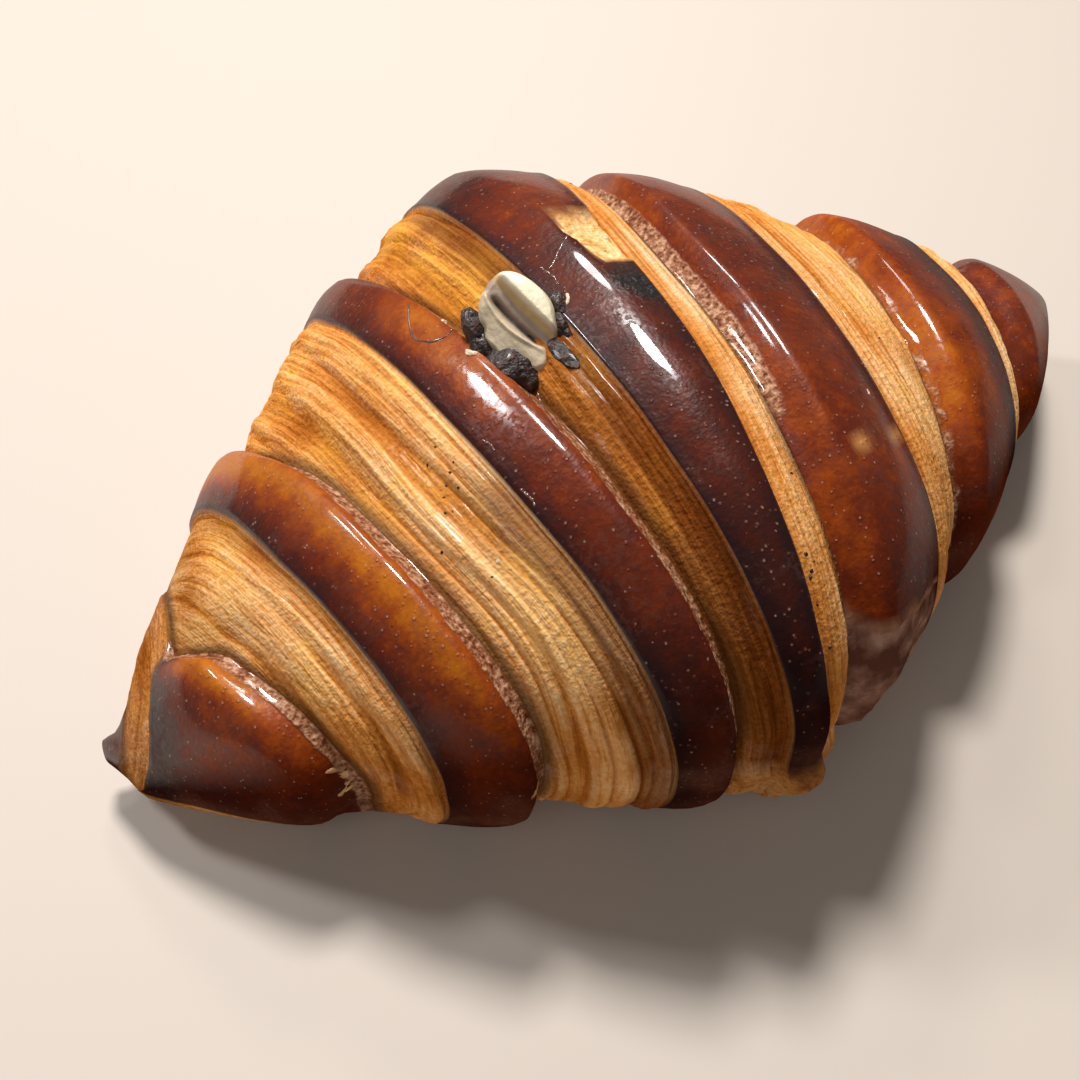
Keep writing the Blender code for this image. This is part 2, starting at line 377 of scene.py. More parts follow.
def build_roll():
    angles = row_angles()
    x, stretch, share, width = lay_columns(ring_positions(angles))
    angle = np.broadcast_to(angles, x.shape)
    relief, is_skin, from_lip, from_foot = across_stretches(stretch, share, width)
    wall = 1 - is_skin
    layers, folds, ridge, fade, layer_at = wall_layers(angle, stretch, from_lip, from_foot)
    relief = relief + wall * fade * (layers - LAYER_SINK)

    # Skins: slow swells, shallow blisters, a raised crisp edge, and a grainy fringe by the crevice.
    pos = point_on_roll(x, angle, relief)
    swell = fractal(pos / 24.0, 2, 61)
    lump = fractal(pos / 8.0, 2, 71)
    blister = fractal(pos / 2.6, 2, 81)
    relief = relief + is_skin * (0.60 * swell + 0.13 * lump + 0.03 * blister)
    relief = relief + wall * (0.35 * swell + 0.20 * fade * fractal(pos / 1.5, 2, 77))
    shallow = smooth(1.35, 1.85, angle) * ((stretch == LEFT_TURN) | (stretch == SECOND_WALL))
    relief = relief * (1 - 0.8 * shallow)
    relief = relief + 0.18 * np.exp(-((from_lip / 0.9) ** 2)) * is_skin
    fringe = is_skin * smooth(2.6, 1.2, from_foot)
    relief = relief + fringe * 0.28 * fractal(pos / 0.9, 2, 91)

    # The tear, and the burnt spot that has blistered beside it.
    degrees = np.degrees(angle)
    degrees = np.where(degrees > 270, degrees - 360, degrees)
    jag = 0.9 * fractal(pos / 2.3, 3, 101)
    tear = torn_bay(x, pos, stretch, is_skin, jag)
    relief = relief - tear * (TEAR_DEPTH + 0.22 * fractal(pos / 1.7, 2, 105))
    burn = burnt_spot(x, pos, stretch)
    relief = relief + burn * 0.22 * fractal(pos / 1.1, 2, 223)

    # Low at the front the turn to the right of it is torn off, and its matte wrinkled underlayer shows.
    torn_edge = FLAP_TOP - FLAP_SLANT * x + 6.0 * fractal(pos / 5.0, 3, 103)
    flap = smooth(torn_edge + 1.2, torn_edge - 1.2, degrees) * (stretch == RIGHT_TURN)
    flap_edge = bump_at(degrees, torn_edge, 1.3) * (stretch == RIGHT_TURN)
    wrinkles = fractal(pos / np.array([2.0, 9.0, 7.0]), 3, 107)
    relief = relief - FLAP_DEPTH * flap + 0.25 * flap_edge + flap * 0.8 * wrinkles

    # The dough below the last turn swells out in a lumpy pale foot.
    foot_edge = FOOT_TOP + 5.0 * fractal(pos / 4.0, 2, 109)
    dough_foot = smooth(foot_edge + 1.5, foot_edge - 1.5, degrees)
    dough_foot = dough_foot * ((stretch >= NUT_WALL) & (stretch <= LAST_WALL))
    swelling = FOOT_SWELL + 0.8 * fractal(pos / 4.0, 2, 113)
    relief = relief + dough_foot * smooth(-62, -40, degrees) * swelling

    # A crack across the next turn to the right.
    crack_line = (degrees - CRACK_AT) + 2.6 * fractal(pos / 3.0, 2, 111)
    crack = bump_at(crack_line, 0, 0.8) * smooth(1.5, 3.5, x) * (stretch == RIGHT_TURN)
    relief = relief - CRACK_DEPTH * crack

    # The left point leans back, and the underside rests on the floor with faint hollows.
    pos = point_on_roll(x, angle, relief)
    lean = smooth(-83.0, -87.0, x)
    pos[..., 1] += LEFT_POINT_LEAN[0] * lean
    pos[..., 2] += LEFT_POINT_LEAN[1] * lean
    floor_wobble = 0.35 * (1 + noise(pos / 6.0, 121))
    low = pos[..., 2] < floor_wobble
    pos[..., 2] = np.where(low, floor_wobble * 0.35 * (pos[..., 2] > -1.2), pos[..., 2])

    masks = make_masks(pos, x, degrees, stretch, from_lip, from_foot)
    closed_up = (stretch == LEFT_TURN) * smooth(CLOSED_UP_FROM, CLOSED_UP_TO, degrees + 2.5 * jag)
    masks["skin"] = is_skin * (1 - tear) * (1 - closed_up)
    masks["fringe"] = masks["fringe"] * fringe
    masks["under"] = np.maximum(masks["under"], dough_foot)
    masks.update(tear=tear, crack=crack, burn=burn, flap=flap, flap_edge=flap_edge, layers=layers + 0.25)
    # The groove mask covers the gaps between strands and the hollows of the folds; the shader darkens both,
    # partly as painted shade.
    fold_hollow_shade = smooth(0.1, -0.55, folds) * 0.55
    masks["groove"] = np.clip(np.maximum(1 - ridge, fold_hollow_shade), 0, 1) * fade
    masks = {key: np.clip(value, 0, 1) for key, value in masks.items()}
    masks["flow"] = np.stack([layer_at, angle * 40, stretch * 3.0], -1)
    return pos, masks, Surface(x, angles, pos)


def bake_and_shade_level(x, deg, from_lip, from_foot, turn):
    """How much darker or lighter than the rest each turn is baked, and where on it. Each turn also darkens
    low at the front, which is painted shade.
    """
    # Left turn: almost black at its left lip, darker low down with painted shade, orange on top towards its
    # crevice.
    bake_and_shade = turn(LEFT_TURN) * (0.55 * smooth(6.0, 0.5, from_lip) + 0.30 * smooth(40, 10, deg))
    bake_and_shade -= turn(LEFT_TURN) * 0.50 * bump_at(from_foot, 3.4, 2.2) * bump_at(deg, 78, 30)
    # Second turn: orange-brown along its middle, dark at its lip.
    bake_and_shade += turn(SECOND_TURN) * (0.35 * smooth(3.2, 0.4, from_lip) + 0.22 * smooth(30, 0, deg))
    bake_and_shade -= turn(SECOND_TURN) * 0.42 * bump_at(from_foot, 4.2, 2.4) * smooth(15, 45, deg)
    # Third turn: dark, with orange patches on top near the hazelnut.
    bake_and_shade += turn(THIRD_TURN) * (0.18 + 0.22 * smooth(60, 20, deg) + 0.25 * smooth(2.6, 0.4, from_lip))
    bake_and_shade -= turn(THIRD_TURN) * 0.52 * bump_at(deg, 98, 20) * bump_at(from_lip, 5.0, 3.6)
    # The last turn is the darkest.
    bake_and_shade += turn(LAST_TURN) * (0.34 + 0.16 * smooth(70, 30, deg) + 0.25 * smooth(2.4, 0.2, from_lip))
    bake_and_shade -= turn(LAST_TURN) * 0.30 * bump_at(deg, 112, 12)
    # Right-hand turns: red-brown, the second of them orange on its left side.
    bake_and_shade += turn(RIGHT_TURN) * (0.12 + 0.22 * smooth(3.0, 0.4, from_lip) + 0.1 * smooth(50, 20, deg))
    bake_and_shade -= turn(RIGHT_TURN) * 0.14 * bump_at(from_foot, 2.5, 2.5)
    bake_and_shade += turn(ORANGE_TURN) * (0.06 + 0.44 * smooth(8.0, 0.6, from_lip) + 0.15 * smooth(50, 20, deg))
    bake_and_shade -= turn(ORANGE_TURN) * 0.26 * smooth(7.5, 3.0, from_foot) * smooth(10, 50, deg)
    bake_and_shade += turn(END_TURN) * (0.06 + 0.16 * smooth(66, 80, x) + 0.20 * smooth(3.0, 0.4, from_lip))
    return bake_and_shade + turn(RIGHT_TIP) * 0.25 + turn(LEFT_TIP) * 0.35


def wall_shade(deg, from_lip, from_foot, mid, turn):
    """Brown shade in the walls under a lip, and over the walls that face away."""
    long_wall = turn(LONG_WALL) * smooth(5.6, 2.2, from_lip + 1.2 * mid) * smooth(84, 70, deg)
    by_nut = turn(NUT_WALL) * smooth(5.0, 2.2, from_lip + mid) * smooth(150, 125, deg)
    low_by_nut = 0.42 * turn(NUT_WALL) * smooth(92, 80, deg)
    second = turn(SECOND_WALL) * 0.5 * smooth(2.6, 0.8, from_lip)
    left = 0.45 * turn(LEFT_WALL) + 0.4 * turn(LEFT_TURN)
    left = left + 0.5 * turn(SECOND_WALL) * smooth(9, 3, from_foot) * smooth(75, 100, deg)
    return np.maximum.reduce([long_wall, by_nut, low_by_nut, second, left])


def make_masks(pos, x, deg, stretch, from_lip, from_foot):
    """Masks that the shader turns into colours: how dark each turn is from its baking and from painted
    shade low at the front, where it is dull and so on.
    """
    slow = fractal(pos / 19.0, 2, 201)
    mid = fractal(pos / 7.5, 3, 211)

    def turn(i):
        return (stretch == i).astype(float)

    bake_and_shade = 0.62 + 0.16 * slow + 0.14 * mid + bake_and_shade_level(x, deg, from_lip, from_foot, turn)

    # Low at the front, where it curls in, and at the back the crust is dull. On the right it is half dull.
    matte = smooth(24, -10, deg + 8 * mid)
    matte = np.maximum(matte, 0.8 * smooth(165, 205, np.where(deg < -90, deg + 360, deg)))
    half_dull = 0.55 * turn(ORANGE_TURN) + 0.3 * turn(RIGHT_TURN) * smooth(80, 50, deg)
    dull = np.maximum.reduce([matte, smooth(54, 14, deg + 6 * mid), half_dull])

    # Paler dough shows along the base and in a strip under the left turn's lip.
    base = smooth(5.0, 0.6, pos[..., 2] + 1.2 * mid) * smooth(2, -34, deg)
    strip_edge = -3 - 1.2 * (x + 82)
    left_strip = smooth(strip_edge + 1.5, strip_edge - 1.5, deg + 3 * mid) * smooth(-66, -70, x)

    # Walls: darker low at the front and towards the back, which is painted shade, with a tone of their own
    # for each; the wall by the nut is darkened again low down, also painted shade.
    tone = 0.50 + 0.30 * slow + 0.34 * mid - 0.20 * smooth(75, 110, deg) - 0.26 * smooth(70, 0, deg)
    for wall, change in WALL_TONES.items():
        tone = tone + change * turn(wall)
    tone = tone - turn(NUT_WALL) * 0.34 * smooth(86, 74, deg) * smooth(0, 20, deg)
    yellow = sum(share * turn(wall) for wall, share in YELLOW_WALLS.items())
    yellow = yellow * smooth(-0.15, 0.40, mid + 0.3 * slow) * smooth(20, 60, deg)

    fringe = turn(LEFT_TURN) * smooth(112, 92, deg) + turn(SECOND_TURN) + 0.9 * turn(THIRD_TURN)
    fringe = fringe + turn(RIGHT_TURN) * smooth(50, 80, deg) + 0.4 * turn(ORANGE_TURN)
    return {
        "broad": 0.5 + 0.5 * fractal(pos / 5.5, 3, 231),
        "bake_and_shade": bake_and_shade / 1.6,
        "lip": from_lip / 6,
        "foot": from_foot / 6,
        "fringe": fringe,
        "matte": matte,
        "dull": dull,
        "under": np.maximum(base, turn(LEFT_TURN) * left_strip),
        "tone": tone,
        "yellow": yellow,
        "shade": wall_shade(deg, from_lip, from_foot, mid, turn),
    }


def linked(name, data):
    made = bpy.data.objects.new(name, data)
    bpy.context.scene.collection.objects.link(made)
    return made


class Surface:
    """Finds points on the finished roll from x and an angle of 0 to 335: 0 at the front, 90 at the top."""

    def __init__(self, x, angles, pos):
        self.x, self.angles, self.pos = x, angles, pos

    def row(self, r, x):
        return np.array([np.interp(x, self.x[:, r], self.pos[:, r, k]) for k in range(3)])

    def at(self, x, degrees):
        a = math.radians(degrees % 360)
        r = int(np.searchsorted(self.angles, a)) % len(self.angles)
        gap = self.angles[r] - self.angles[r - 1] if r else 1.0
        t = (a - self.angles[r - 1]) / gap if r else 1.0
        return self.row(r - 1, x) * (1 - t) + self.row(r, x) * t

    def normal(self, x, degrees):
        along = self.at(x + 0.6, degrees) - self.at(x - 0.6, degrees)
        round_ = self.at(x, degrees + 1.2) - self.at(x, degrees - 1.2)
        n = np.cross(round_, along)
        return n / np.linalg.norm(n)

    def lifted(self, x, degrees, lift):
        return self.at(x, degrees) + lift * self.normal(x, degrees)


def grid_mesh(name, pos, masks):
    """A closed tube mesh from a grid of points, with a point at each end."""
    columns, rows = pos.shape[:2]
    ends = np.stack([pos[0].mean(0), pos[-1].mean(0)])
    points = np.concatenate([pos.reshape(-1, 3), ends]) * MM
    c = np.arange(columns - 1)[:, None] * rows
    r = np.arange(rows)
    nxt = (r + 1) % rows
    quads = np.stack([c + r, c + nxt, c + rows + nxt, c + rows + r], -1).reshape(-1, 4)
    first, last = columns * rows, columns * rows + 1
    left = np.stack([r, np.full(rows, first), nxt], -1)
    base = (columns - 1) * rows
    right = np.stack([base + r, base + nxt, np.full(rows, last)], -1)
    mesh = bpy.data.meshes.new(name)
    faces = [tuple(q) for q in quads[:, ::-1].tolist()]
    faces += [tuple(t) for t in left[:, ::-1].tolist()] + [tuple(t) for t in right[:, ::-1].tolist()]
    mesh.from_pydata(points.tolist(), [], faces)
    for key, value in masks.items():
        if value.ndim == 3:
            flat = np.concatenate([value.reshape(-1, 3), np.zeros((2, 3))]).astype(np.float32)
            mesh.attributes.new(key, "FLOAT_VECTOR", "POINT").data.foreach_set("vector", flat.ravel())
            continue
        ends_value = [value[0].mean(), value[-1].mean()]
        flat = np.concatenate([value.ravel(), ends_value]).astype(np.float32)
        mesh.attributes.new(key, "FLOAT", "POINT").data.foreach_set("value", flat)
    mesh.update()
    mesh.shade_smooth()
    return linked(name, mesh)


# ---- Node helpers ----
class Nodes:
    """Short ways to write a material's node tree. Textures used more than once are kept on it by name."""

    def __init__(self, name):
        self.material = bpy.data.materials.new(name)
        self.material.use_nodes = True
        self.tree = self.material.node_tree
        self.shader = self.tree.nodes["Principled BSDF"]

    def new(self, kind, **settings):
        node = self.tree.nodes.new(kind)
        for key, value in settings.items():
            setattr(node, key, value)
        return node

    def put(self, socket, value):
        if isinstance(value, bpy.types.NodeSocket):
            self.tree.links.new(value, socket)
        else:
            if socket.type == "RGBA" and len(value) == 3:
                value = (*value, 1)
            socket.default_value = value

    def set(self, name, value):
        """One of the shader's inputs."""
        self.put(self.shader.inputs[name], value)

    def mask(self, name):
        return self.new("ShaderNodeAttribute", attribute_name=name).outputs["Fac"]

    def vector(self, name):
        return self.new("ShaderNodeAttribute", attribute_name=name).outputs["Vector"]

    def math(self, operation, a, b, clamp=False):
        node = self.new("ShaderNodeMath", operation=operation, use_clamp=clamp)
        self.put(node.inputs[0], a)
        self.put(node.inputs[1], b)
        return node.outputs[0]

    def mul(self, a, b):
        return self.math("MULTIPLY", a, b)

    def add(self, a, b):
        return self.math("ADD", a, b)

    def swing(self, value, amount):
        """A noise's swing about its middle, scaled."""
        return self.mul(self.math("SUBTRACT", value, 0.5), amount)

    def mix(self, factor, a, b, way="MIX"):
        node = self.new("ShaderNodeMix", data_type="RGBA", blend_type=way)
        self.put(node.inputs[0], factor)
        self.put(node.inputs[6], a)
        self.put(node.inputs[7], b)
        return node.outputs[2]

    def blend(self, factor, a, b):
        node = self.new("ShaderNodeMix", data_type="FLOAT")
        self.put(node.inputs[0], factor)
        self.put(node.inputs[2], a)
        self.put(node.inputs[3], b)
        return node.outputs[0]

    def ramp(self, factor, stops):
        node = self.new("ShaderNodeValToRGB")
        band = node.color_ramp
        while len(band.elements) < len(stops):
            band.elements.new(0.5)
        for element, (at, colour) in zip(band.elements, stops):
            element.position = at
            element.color = (*colour, 1)
        self.put(node.inputs[0], factor)
        return node.outputs[0]

    def step(self, factor, low, high):
        node = self.new("ShaderNodeMapRange", interpolation_type="SMOOTHSTEP")
        self.put(node.inputs["Value"], factor)
        self.put(node.inputs["From Min"], low)
        self.put(node.inputs["From Max"], high)
        return node.outputs[0]

    def scaled(self, vector, by):
        node = self.new("ShaderNodeVectorMath", operation="MULTIPLY")
        self.put(node.inputs[0], vector)
        node.inputs[1].default_value = by
        return node.outputs[0]

    def noise(self, vector, scale, detail=3.0, rough=0.55):
        node = self.new("ShaderNodeTexNoise")
        self.put(node.inputs["Vector"], vector)
        self.put(node.inputs["Scale"], scale)
        self.put(node.inputs["Detail"], detail)
        self.put(node.inputs["Roughness"], rough)
        return node.outputs["Fac"]

    def cells(self, vector, scale):
        node = self.new("ShaderNodeTexVoronoi")
        self.put(node.inputs["Vector"], vector)
        self.put(node.inputs["Scale"], scale)
        return node.outputs["Distance"]

    def bump(self, height, distance, strength):
        node = self.new("ShaderNodeBump")
        self.put(node.inputs["Height"], height)
        self.put(node.inputs["Distance"], distance)
        self.put(node.inputs["Strength"], strength)
        return node.outputs["Normal"]

    def position(self):
        return self.new("ShaderNodeTexCoord").outputs["Object"]


def wall_colour(n):
    """Walls: cream to golden layers with brown grooves between them. Raised layers are paler and grooves,
    fold hollows and fine lines darker: partly the dough's own colour, partly painted light and shade.
    """
    layer = n.add(n.mul(n.mask("tone"), 0.62), n.mul(n.lines, 0.80))
    layer = n.add(layer, n.mul(n.grain, 0.42))
    # Painted light: the raised layers are paler, following the layers' relief.
    layer = n.add(layer, n.swing(n.mask("layers"), 0.40))
    wall = n.ramp(n.math("SUBTRACT", layer, 0.47), [
        (0.06, (0.300, 0.084, 0.012)),
        (0.27, (0.520, 0.165, 0.024)),
        (0.49, (0.760, 0.315, 0.075)),
        (0.72, (0.900, 0.520, 0.225)),
        (0.94, (0.960, 0.730, 0.460)),
    ])
    wall = n.mix(n.mul(n.mask("yellow"), 0.50), wall, (0.900, 0.430, 0.040))
    # Grooves and fold hollows: browner dough, darkened further with painted shade.
    groove = n.math("POWER", n.mask("groove"), 1.3)
    wall = n.mix(n.mul(groove, 0.74), wall, (0.400, 0.118, 0.016))
    # Fine dark lines between the thinnest layers: partly painted shade.
    thin = n.step(n.lines, 0.46, 0.36)
    wall = n.mix(n.mul(thin, 0.36), wall, (0.340, 0.100, 0.018))
    wall = n.mix(n.mul(n.mask("shade"), 0.90), wall, (0.32, 0.25, 0.28), "MULTIPLY")
    # Painted shade: the walls go near black at their foot, in the crevice.
    crevice_shade = n.step(n.mask("foot"), 0.24, 0.02)
    return n.mix(n.mul(crevice_shade, 0.78), wall, (0.070, 0.025, 0.009))


def skin_colour(n):
    """Skins: deep red-brown, nearly black where baked darkest and where painted shade lies low at the
    front, orange where baked light.
    """
    bake_and_shade = n.add(n.mask("bake_and_shade"), n.swing(n.mottle, 0.36))
    bake_and_shade = n.add(bake_and_shade, n.swing(n.grain, 0.14))
    skin = n.ramp(bake_and_shade, [
        (0.10, (0.460, 0.130, 0.006)),
        (0.27, (0.285, 0.050, 0.003)),
        (0.42, (0.140, 0.0185, 0.0035)),
        (0.58, (0.062, 0.0092, 0.0040)),
        (0.80, (0.0190, 0.0058, 0.0060)),
    ])
    skin = n.mix(n.mul(n.haze, 0.18), skin, (0.190, 0.062, 0.040))
    # Painted glints: the bubbles, raised in the relief, are also lighter in colour.
    skin = n.mix(n.mul(n.bubble, 0.25), skin, (0.330, 0.110, 0.050))
    # Painted glints: small pale dots in the skin colour.
    painted_glints = n.mul(n.step(n.pits, 0.17, 0.09), n.step(n.grain, 0.50, 0.56))
    skin = n.mix(n.mul(painted_glints, 0.38), skin, (0.600, 0.400, 0.330))
    lip_line = n.step(n.mask("lip"), 0.12, 0.0)
    skin = n.mix(n.mul(lip_line, 0.6), skin, (0.020, 0.006, 0.008))
    fringe_colour = n.ramp(n.add(n.mul(n.grain, 0.6), n.mul(n.mottle, 0.4)), [
        (0.38, (0.120, 0.036, 0.014)),
        (0.50, (0.370, 0.160, 0.078)),
        (0.64, (0.680, 0.410, 0.250)),
    ])
    skin = n.mix(n.mul(n.fringed, 0.85), skin, fringe_colour)
    matte_colour = n.ramp(n.dim, [
        (0.36, (0.040, 0.0150, 0.0100)),
        (0.50, (0.085, 0.032, 0.020)),
        (0.66, (0.170, 0.075, 0.045)),
    ])
    skin = n.mix(n.mul(n.mask("matte"), 0.42), skin, matte_colour)
    flap_colour = n.ramp(n.dim, [
        (0.38, (0.125, 0.052, 0.036)),
        (0.52, (0.290, 0.150, 0.104)),
        (0.66, (0.540, 0.350, 0.260)),
    ])
    skin = n.mix(n.mul(n.mask("flap"), 0.9), skin, flap_colour)
    skin = n.mix(n.mul(n.mask("flap_edge"), 0.7), skin, (0.420, 0.210, 0.120))
    return n.mix(n.mul(n.mask("burn"), 0.9), skin, (0.014, 0.015, 0.014))


def crust_colour(n):
    """Walls and skins together, with the bare dough in the tear, in the crack and along the base."""
    bare_colour = n.ramp(n.add(n.mul(n.grain, 0.45), n.mul(n.mottle, 0.55)), [
        (0.34, (0.460, 0.200, 0.055)),
        (0.48, (0.800, 0.460, 0.170)),
        (0.64, (0.950, 0.700, 0.380)),
    ])
    colour = n.mix(n.mask("skin"), wall_colour(n), skin_colour(n))
    colour = n.mix(n.mask("tear"), colour, bare_colour)
    colour = n.mix(n.mul(n.mask("crack"), 0.85), colour, (0.62, 0.27, 0.08))
    base_colour = n.ramp(n.add(n.mul(n.dim, 0.7), n.mul(n.grain, 0.3)), [
        (0.36, (0.240, 0.080, 0.020)),
        (0.50, (0.480, 0.200, 0.052)),
        (0.66, (0.680, 0.360, 0.130)),
    ])
    return n.mix(n.mul(n.mask("under"), 0.88), colour, base_colour)


def crust_gloss(n):
    """The egg wash is a clear coat over the skins, thin and broken on the walls."""
    rim = n.step(n.new("ShaderNodeLayerWeight").outputs["Facing"], 0.35, 0.90)
    head_on = n.math("SUBTRACT", 1.0, n.mul(rim, 0.75))
    shiny = n.math("SUBTRACT", n.mask("skin"), n.mask("dull"), clamp=True)
    bare = n.math("MAXIMUM", n.mask("tear"), n.math("MAXIMUM", n.mask("flap"), n.mask("under")))
    shiny = n.math("SUBTRACT", shiny, n.mul(bare, 0.9), clamp=True)
    not_skin = n.math("SUBTRACT", 1.0, n.mask("skin"))
    glazed_wall = n.mul(n.mul(n.step(n.broad, 0.52, 0.62), not_skin), 0.42)
    wash = n.add(n.mul(shiny, n.add(n.mul(n.step(n.mottle, 0.40, 0.56), 0.40), 0.60)), glazed_wall)
    n.set("Coat Weight", n.mul(wash, head_on))
    n.set("Coat Roughness", n.add(n.mul(n.haze, 0.15), 0.06))
    n.set("Coat IOR", 1.5)
    n.set("Roughness", n.add(n.blend(shiny, 0.70, 0.40), n.swing(n.mottle, 0.15)))
    n.set("Specular IOR Level", n.mul(n.mul(shiny, 0.16), head_on))


def crust_relief(n):
    """Fine relief: grooves and grain in the walls, pits and tiny bubbles in the skins."""
    wall_height = n.add(n.mul(n.lines, 0.85), n.mul(n.grain, 0.85))
    rugged = n.math("MAXIMUM", n.fringed, n.mask("burn"))
    skin_height = n.add(n.mul(n.grain, 0.24), n.mul(n.bubble, 0.26))
    skin_height = n.add(skin_height, n.mul(rugged, n.add(n.mul(n.pits, 0.7), n.mul(n.grain, 0.8))))
    height = n.blend(n.mask("skin"), wall_height, skin_height)
    n.set("Normal", n.bump(height, 0.00045, 0.75))


def crust_material():
    n = Nodes("croissant_crust")
    place = n.position()
    n.broad = n.mask("broad")
    n.mottle = n.noise(place, 360.0, 3.0, 0.62)
    n.grain = n.noise(place, 1500.0, 1.0, 0.6)
    n.pits = n.cells(place, 1050.0)
    n.lines = n.noise(n.scaled(n.vector("flow"), (1.9, 0.040, 1.0)), 1.0, 3.0, 0.70)
    n.dim = n.add(n.mul(n.broad, 0.55), n.mul(n.mottle, 0.45))
    n.haze = n.mul(n.step(n.broad, 0.50, 0.62), n.step(n.grain, 0.42, 0.60))
    # Bubbles: raised in the relief, and painted lighter as glints in the skin colour.
    n.bubble = n.mul(n.step(n.pits, 0.30, 0.10), n.step(n.mottle, 0.47, 0.54))
    fringed = n.step(n.add(n.mask("fringe"), n.swing(n.mottle, 0.9)), 0.30, 0.62)
    n.fringed = n.mul(fringed, n.step(n.mask("fringe"), 0.02, 0.2))
    n.set("Base Color", crust_colour(n))
    crust_gloss(n)
    crust_relief(n)
    return n.material


def nut_material():
    n = Nodes("hazelnut_kernel")
    place = n.position()
    mottle = n.noise(place, 420.0, 4.0, 0.6)
    fibre = n.noise(n.scaled(place, (1.0, 0.3, 1.0)), 1500.0, 3.0, 0.55)
    # Away from the bright lobe the kernel is greyer and darker: painted shade over its mottle and fibres.
    kernel = n.ramp(n.add(n.mul(mottle, 0.6), n.mul(fibre, 0.4)), [
        (0.30, (0.440, 0.340, 0.220)),
        (0.50, (0.580, 0.470, 0.320)),
        (0.75, (0.680, 0.570, 0.410)),
    ])
    kernel = n.mix(n.mask("lobe"), kernel, (0.985, 0.880, 0.620))
    # Painted shade: the slope down to the slit is grey-brown and the slit near black.
    kernel = n.mix(n.mul(n.mask("slope"), 0.80), kernel, (0.300, 0.210, 0.160))
    kernel = n.mix(n.mul(n.mask("border"), 0.65), kernel, (0.700, 0.430, 0.130))
    kernel = n.mix(n.mul(n.mask("slit"), 0.92), kernel, (0.085, 0.055, 0.045))
    kernel = n.mix(n.mul(n.mask("ridge"), 0.55), kernel, (0.760, 0.600, 0.400))
    husk = n.mul(n.mask("rim"), n.step(n.noise(place, 900.0, 3.0, 0.6), 0.42, 0.56))
    kernel = n.mix(n.mul(husk, 0.85), kernel, (0.230, 0.080, 0.035))
    n.set("Base Color", kernel)
    n.set("Roughness", n.add(n.mul(mottle, 0.2), 0.36))
    n.set("Normal", n.bump(n.add(fibre, mottle), 0.00018, 0.6))
    return n.material


def chocolate_material():
    n = Nodes("chocolate_cream")
    place = n.position()
    lumps = n.noise(place, 800.0, 3.0, 0.6)
    n.set("Base Color", n.ramp(lumps, [
        (0.30, (0.0095, 0.0045, 0.0030)),
        (0.55, (0.0300, 0.0125, 0.0080)),
        (0.75, (0.1100, 0.0500, 0.0320)),
    ]))
    n.set("Roughness", n.add(n.mul(lumps, 0.4), 0.34))
    n.set("Coat Weight", 0.15)
    n.set("Coat Roughness", 0.12)
    n.set("Normal", n.bump(lumps, 0.0010, 0.7))
    return n.material


def bit_material(name, dark, light, roughness, coat):
    """For the small bits: two tones mottled together, with a little grain."""
    n = Nodes(name)
    place = n.position()
    mottle = n.noise(place, 1400.0, 3.0, 0.6)
    n.set("Base Color", n.ramp(mottle, [(0.32, dark), (0.66, light)]))
    n.set("Roughness", roughness)
    n.set("Coat Weight", coat)
    n.set("Coat Roughness", 0.08)
    n.set("Normal", n.bump(mottle, 0.00012, 0.6))
    return n.material


# ---- Hazelnut, chocolate cream and small bits ----
NUT_CENTRE = np.array([-21.0, 1.1, 57.6])
NUT_FACING = np.array([-0.30, -0.45, 0.84])
NUT_TURN = math.radians(9)
NUT_HALF_LENGTH = 6.1
NUT_HALF_WIDTH = 4.35
NUT_DEPTH = 4.2
SLIT_SLANT = 0.36  # how far the slit leans from the nut's long side
SLIT_DEPTH = 1.0
LOBE_HEIGHT = 1.45
# Bumps and dents in the nut's outline: size, direction in degrees and spread in degrees.
NUT_BUMPS = [(0.13, -92, 17), (-0.19, -70, 9), (0.10, -176, 14), (-0.06, 168, 10)]


def nut_axes():
    up = NUT_FACING / np.linalg.norm(NUT_FACING)
    along = np.array([math.sin(NUT_TURN), math.cos(NUT_TURN), 0.0])
    along = along - up * along.dot(up)
    along /= np.linalg.norm(along)
    return np.cross(along, up), along, up


def near_angle(theta, degrees, width):
    """1 at this direction round the nut, falling to 0 within about this many degrees."""
    away = (np.degrees(theta) - degrees + 180) % 360 - 180
    return np.exp(-((away / width) ** 2))


